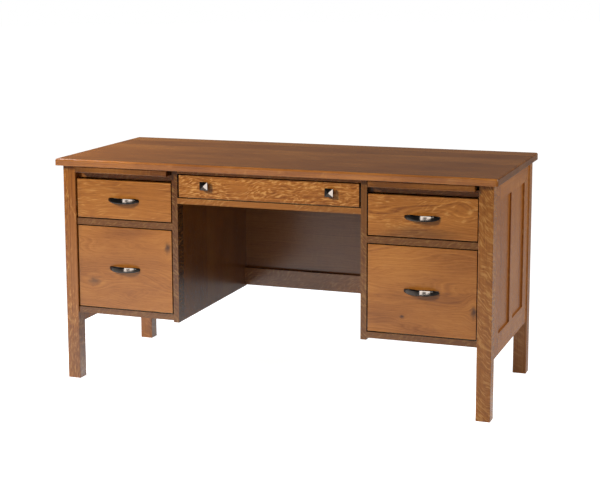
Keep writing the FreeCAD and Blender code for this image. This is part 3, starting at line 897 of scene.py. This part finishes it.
def lay_floor(stage):
    """A round floor under the desk: rings whose radius grows with the square of their number."""
    rings = 40
    spread = np.linspace(0.02, 1, rings)[:, None] ** 2
    turn = angles(ROUND_SIDES)
    x, y = spread * np.cos(turn), spread * np.sin(turn)
    points = grid(x, y, 0.0) * stage.floor_radius
    here, _, quads = ring_grid(rings, ROUND_SIDES)
    mesh = bpy.data.meshes.new("studio_floor")
    mesh.from_pydata(points.reshape(-1, 3).tolist(), [], quads.tolist() + [here[0].tolist()])
    floor = bpy.data.objects.new("studio_floor", mesh)
    bpy.context.scene.collection.objects.link(floor)

    # Matt white paper: the camera sees it white, and gloss mirrors a bright pool of it before the desk
    # that fades to the dim room. It still takes the desk's shadow.
    material = bpy.data.materials.new("matt_white_paper")
    material.use_nodes = True
    add = adder(material.node_tree)
    path = add("LightPath")
    at = add("TexCoord")["Object"]
    away = add("VectorMath", (at, POOL_MIDDLE), "DISTANCE")["Value"]
    fade = (away, POOL_CORE, stage.pool, stage.pool_glow, POOL_FAR)
    pool = add("MapRange", fade, **SMOOTH)[0]
    mirrored = add("Math", (path["Is Glossy Ray"], pool), "MULTIPLY")[0]
    seen = add("Math", (path["Is Camera Ray"], path["Is Transmission Ray"]), "MAXIMUM")[0]
    shown = add("Math", (seen, stage.floor_glow), "MULTIPLY")[0]
    strength = add("Math", (shown, mirrored), "MAXIMUM")[0]
    paper = add("BsdfDiffuse", {"Color": stage.floor})[0]
    white = add("Emission", {"Color": WHITE, "Strength": strength})[0]
    both = add("AddShader", (paper, white))[0]
    add("OutputMaterial", {"Surface": both})
    mesh.materials.append(material)


class Lamp(NamedTuple):
    """An area lamp: its place, target, width and height, power and beam, and the one piece it lights."""

    name: str
    place: tuple
    target: tuple
    size: tuple
    watts: float
    spread: float = math.pi
    alone: str = ""


def hang_lamps(stage):
    """Soft boxes for key, fill, end and top, and cards that one polished piece alone mirrors."""
    top, knobs = "desk_top", "centre_drawer_square_knobs"
    lamps = [
        Lamp("key_soft_box", (-2.3, -3.3, 2.5), (0.05, -0.3, 0.85), (0.8, 0.8), stage.key_power, KEY_SPREAD),
        Lamp("front_fill_box", (0.2, -4.8, 1.7), (0.0, 0.0, 0.4), (2.2, 1.0), stage.fill_power),
        Lamp("end_fill_box", (3.0, -0.2, 1.8), (0.75, 0.0, 0.5), (1.4, 1.4), stage.end_power),
        Lamp("top_soft_box", (-1.5, -0.3, 1.6), (-0.85, -0.1, 0.77), (0.7, 0.7), stage.top_power, TOP_SPREAD),
        Lamp("knob_card", (1.45, -3.2, 0.25), (0, 0, 0.7), (1.6, 0.8), stage.card_power, alone=knobs),
        Lamp("edge_card", (-1.7, -4.6, 0.3), (-0.1, -0.33, 0.76), (3.3, 0.5), stage.edge_power, alone=top),
    ]
    # A pull's card stands just above the height at which the strap's leaning face mirrors the camera
    lean = bpy.context.scene.desk_hardware.strap_lean
    for drawer in PULL_DRAWERS:
        low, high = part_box(drawer + "_pull")
        crown = Vector(((low.x + high.x) / 2, low.y, (low.z + high.z) / 2))
        view = CAMERA_PLACE - crown
        slope = 2 * lean / (high.z - low.z) - view.z / view.xy.length
        target = crown + Vector((CARD_ASIDE, 0.0, CARD_AWAY * slope + CARD_RISE))
        place = target - Vector((0.0, CARD_AWAY, 0.0))
        pull = drawer + "_strap_pull"
        lamps.append(Lamp(drawer + "_card", place, target, CARD_SIZE, stage.pull_power, alone=pull))
    for lamp in lamps:
        light = bpy.data.lights.new(lamp.name, "AREA")
        light.shape = "RECTANGLE"
        light.size, light.size_y = lamp.size
        light.spread = lamp.spread
        light.energy = lamp.watts
        box = bpy.data.objects.new(lamp.name, light)
        box.location = lamp.place
        box.rotation_euler = (Vector(lamp.target) - Vector(lamp.place)).to_track_quat("-Z", "Y").to_euler()
        box.visible_camera = False
        # Seen from behind, the lacquer would mirror the key as a white glare
        box.visible_glossy = lamp.name != "key_soft_box"
        if lamp.alone:
            group = bpy.data.collections.new(lamp.alone + "_alone")
            group.objects.link(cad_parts.get(lamp.alone) or bpy.data.objects[lamp.alone])
            box.light_linking.receiver_collection = group
        bpy.context.scene.collection.objects.link(box)
        if lamp.alone.endswith("_strap_pull"):
            cut_card(light)


def cut_card(light):
    """A pull's card: white with an oval hole for the lens, then a dark gap and a thin bar at one end.

    Places on the card run from nought to one, along its width and its height.
    """
    hole_middle, holes_per_card = (0.3, 0.15, 0.0), (7.0, 8.0, 0.0)
    dark, bar_white = 0.03, 0.9
    light.use_nodes = True
    add = adder(light.node_tree)
    at = add("NewGeometry")["Parametric"]
    across = add("SeparateXYZ", (at,))["X"]
    sheet = add("MapRange", (across, 0.74, 0.78, 1.0, dark))[0]
    bar = add("MapRange", (across, 0.92, 0.95, 0.0, bar_white))[0]
    white = add("Math", (sheet, bar), "MAXIMUM")[0]
    hole = add("VectorMath", (at, hole_middle), "SUBTRACT")[0]
    hole = add("VectorMath", (hole, holes_per_card), "MULTIPLY")[0]
    hole = add("VectorMath", (hole,), "LENGTH")["Value"]
    rim = add("MapRange", (hole, 0.8, 1.2, dark, 1.0))[0]
    white = add("Math", (white, rim), "MULTIPLY")[0]
    card = add("Emission", {"Strength": white})[0]
    add("OutputLight", {"Surface": card})


def light_room(scene, stage):
    """White to the camera; to everything else a dim room by height: wall at the horizon, ceiling above."""
    scene.world = bpy.data.worlds.new("studio_room")
    scene.world.use_nodes = True
    add = adder(scene.world.node_tree)
    rise = add("SeparateXYZ", (add("TexCoord")["Generated"],))["Z"]
    fade = (rise, WALL_END, CEILING_START, stage.wall, stage.ceiling)
    room = add("MapRange", fade, **SMOOTH)[0]
    path = add("LightPath")
    seen = add("Math", (path["Is Camera Ray"], path["Is Transmission Ray"]), "MAXIMUM")[0]
    strength = add("Math", (seen, room), "MAXIMUM")[0]
    light = add("Background", {"Color": WHITE, "Strength": strength})[0]
    add("OutputWorld", {"Surface": light})


def set_camera(scene, stage):
    """The camera, from the photograph's own perspective."""
    turn, tilt, roll = (math.radians(angle) for angle in CAMERA_ANGLES)
    ahead = Vector((-math.sin(turn) * math.cos(tilt), math.cos(turn) * math.cos(tilt), math.sin(tilt)))
    level = Vector((math.cos(turn), math.sin(turn), 0.0))
    rise = level.cross(ahead)
    right = math.cos(roll) * level + math.sin(roll) * rise
    up = math.cos(roll) * rise - math.sin(roll) * level
    data = bpy.data.cameras.new("photo_camera")
    data.sensor_fit = "HORIZONTAL"
    data.sensor_width = 36.0
    data.lens = stage.lens
    data.shift_x, data.shift_y = CAMERA_SHIFT
    data.clip_end = 200.0
    camera = bpy.data.objects.new("photo_camera", data)
    facing = Matrix((right, up, -ahead)).transposed().to_4x4()
    camera.matrix_world = Matrix.Translation(CAMERA_PLACE) @ facing
    scene.collection.objects.link(camera)
    scene.camera = camera


class DESK_PT_finish(bpy.types.Panel):
    """Every step that dresses the desk, in order, with the sizes and colours it uses"""

    bl_idname = "DESK_PT_finish"
    bl_label = "Oak desk"
    bl_space_type = "VIEW_3D"
    bl_region_type = "UI"
    bl_category = "Desk"

    def draw(self, context):
        layout = self.layout
        for operator in OPERATORS:
            layout.operator(operator.bl_idname)
        for name in SETTINGS:
            box = layout.box()
            for key in SETTINGS[name].__annotations__:
                box.prop(getattr(context.scene, name), key)


SETTINGS = {
    "desk_oak": OakSettings,
    "desk_timber": TimberSettings,
    "desk_hardware": HardwareSettings,
    "desk_stage": StageSettings,
}
OPERATORS = (
    DESK_OT_top,
    DESK_OT_frame,
    DESK_OT_panels,
    DESK_OT_drawer_fronts,
    DESK_OT_writing_slides,
    DESK_OT_drawer_boxes,
    DESK_OT_runners,
    DESK_OT_pulls,
    DESK_OT_knobs,
    DESK_OT_screws,
    DESK_OT_stage,
)


def register():
    for cls in (*SETTINGS.values(), *OPERATORS, DESK_PT_finish):
        bpy.utils.register_class(cls)
    for name, settings in SETTINGS.items():
        setattr(bpy.types.Scene, name, PointerProperty(type=settings))


def unregister():
    for name in SETTINGS:
        delattr(bpy.types.Scene, name)
    for cls in reversed((*SETTINGS.values(), *OPERATORS, DESK_PT_finish)):
        bpy.utils.unregister_class(cls)


def main():
    register()
    timber_group(bpy.context.scene.desk_oak)
    bpy.ops.desk.top()
    bpy.ops.desk.frame()
    bpy.ops.desk.panels()
    bpy.ops.desk.drawer_fronts()
    bpy.ops.desk.writing_slides()
    bpy.ops.desk.drawer_boxes()
    bpy.ops.desk.runners()
    bpy.ops.desk.pulls()
    bpy.ops.desk.knobs()
    bpy.ops.desk.screws()
    bpy.ops.desk.stage()


if __name__ == "__main__":
    main()
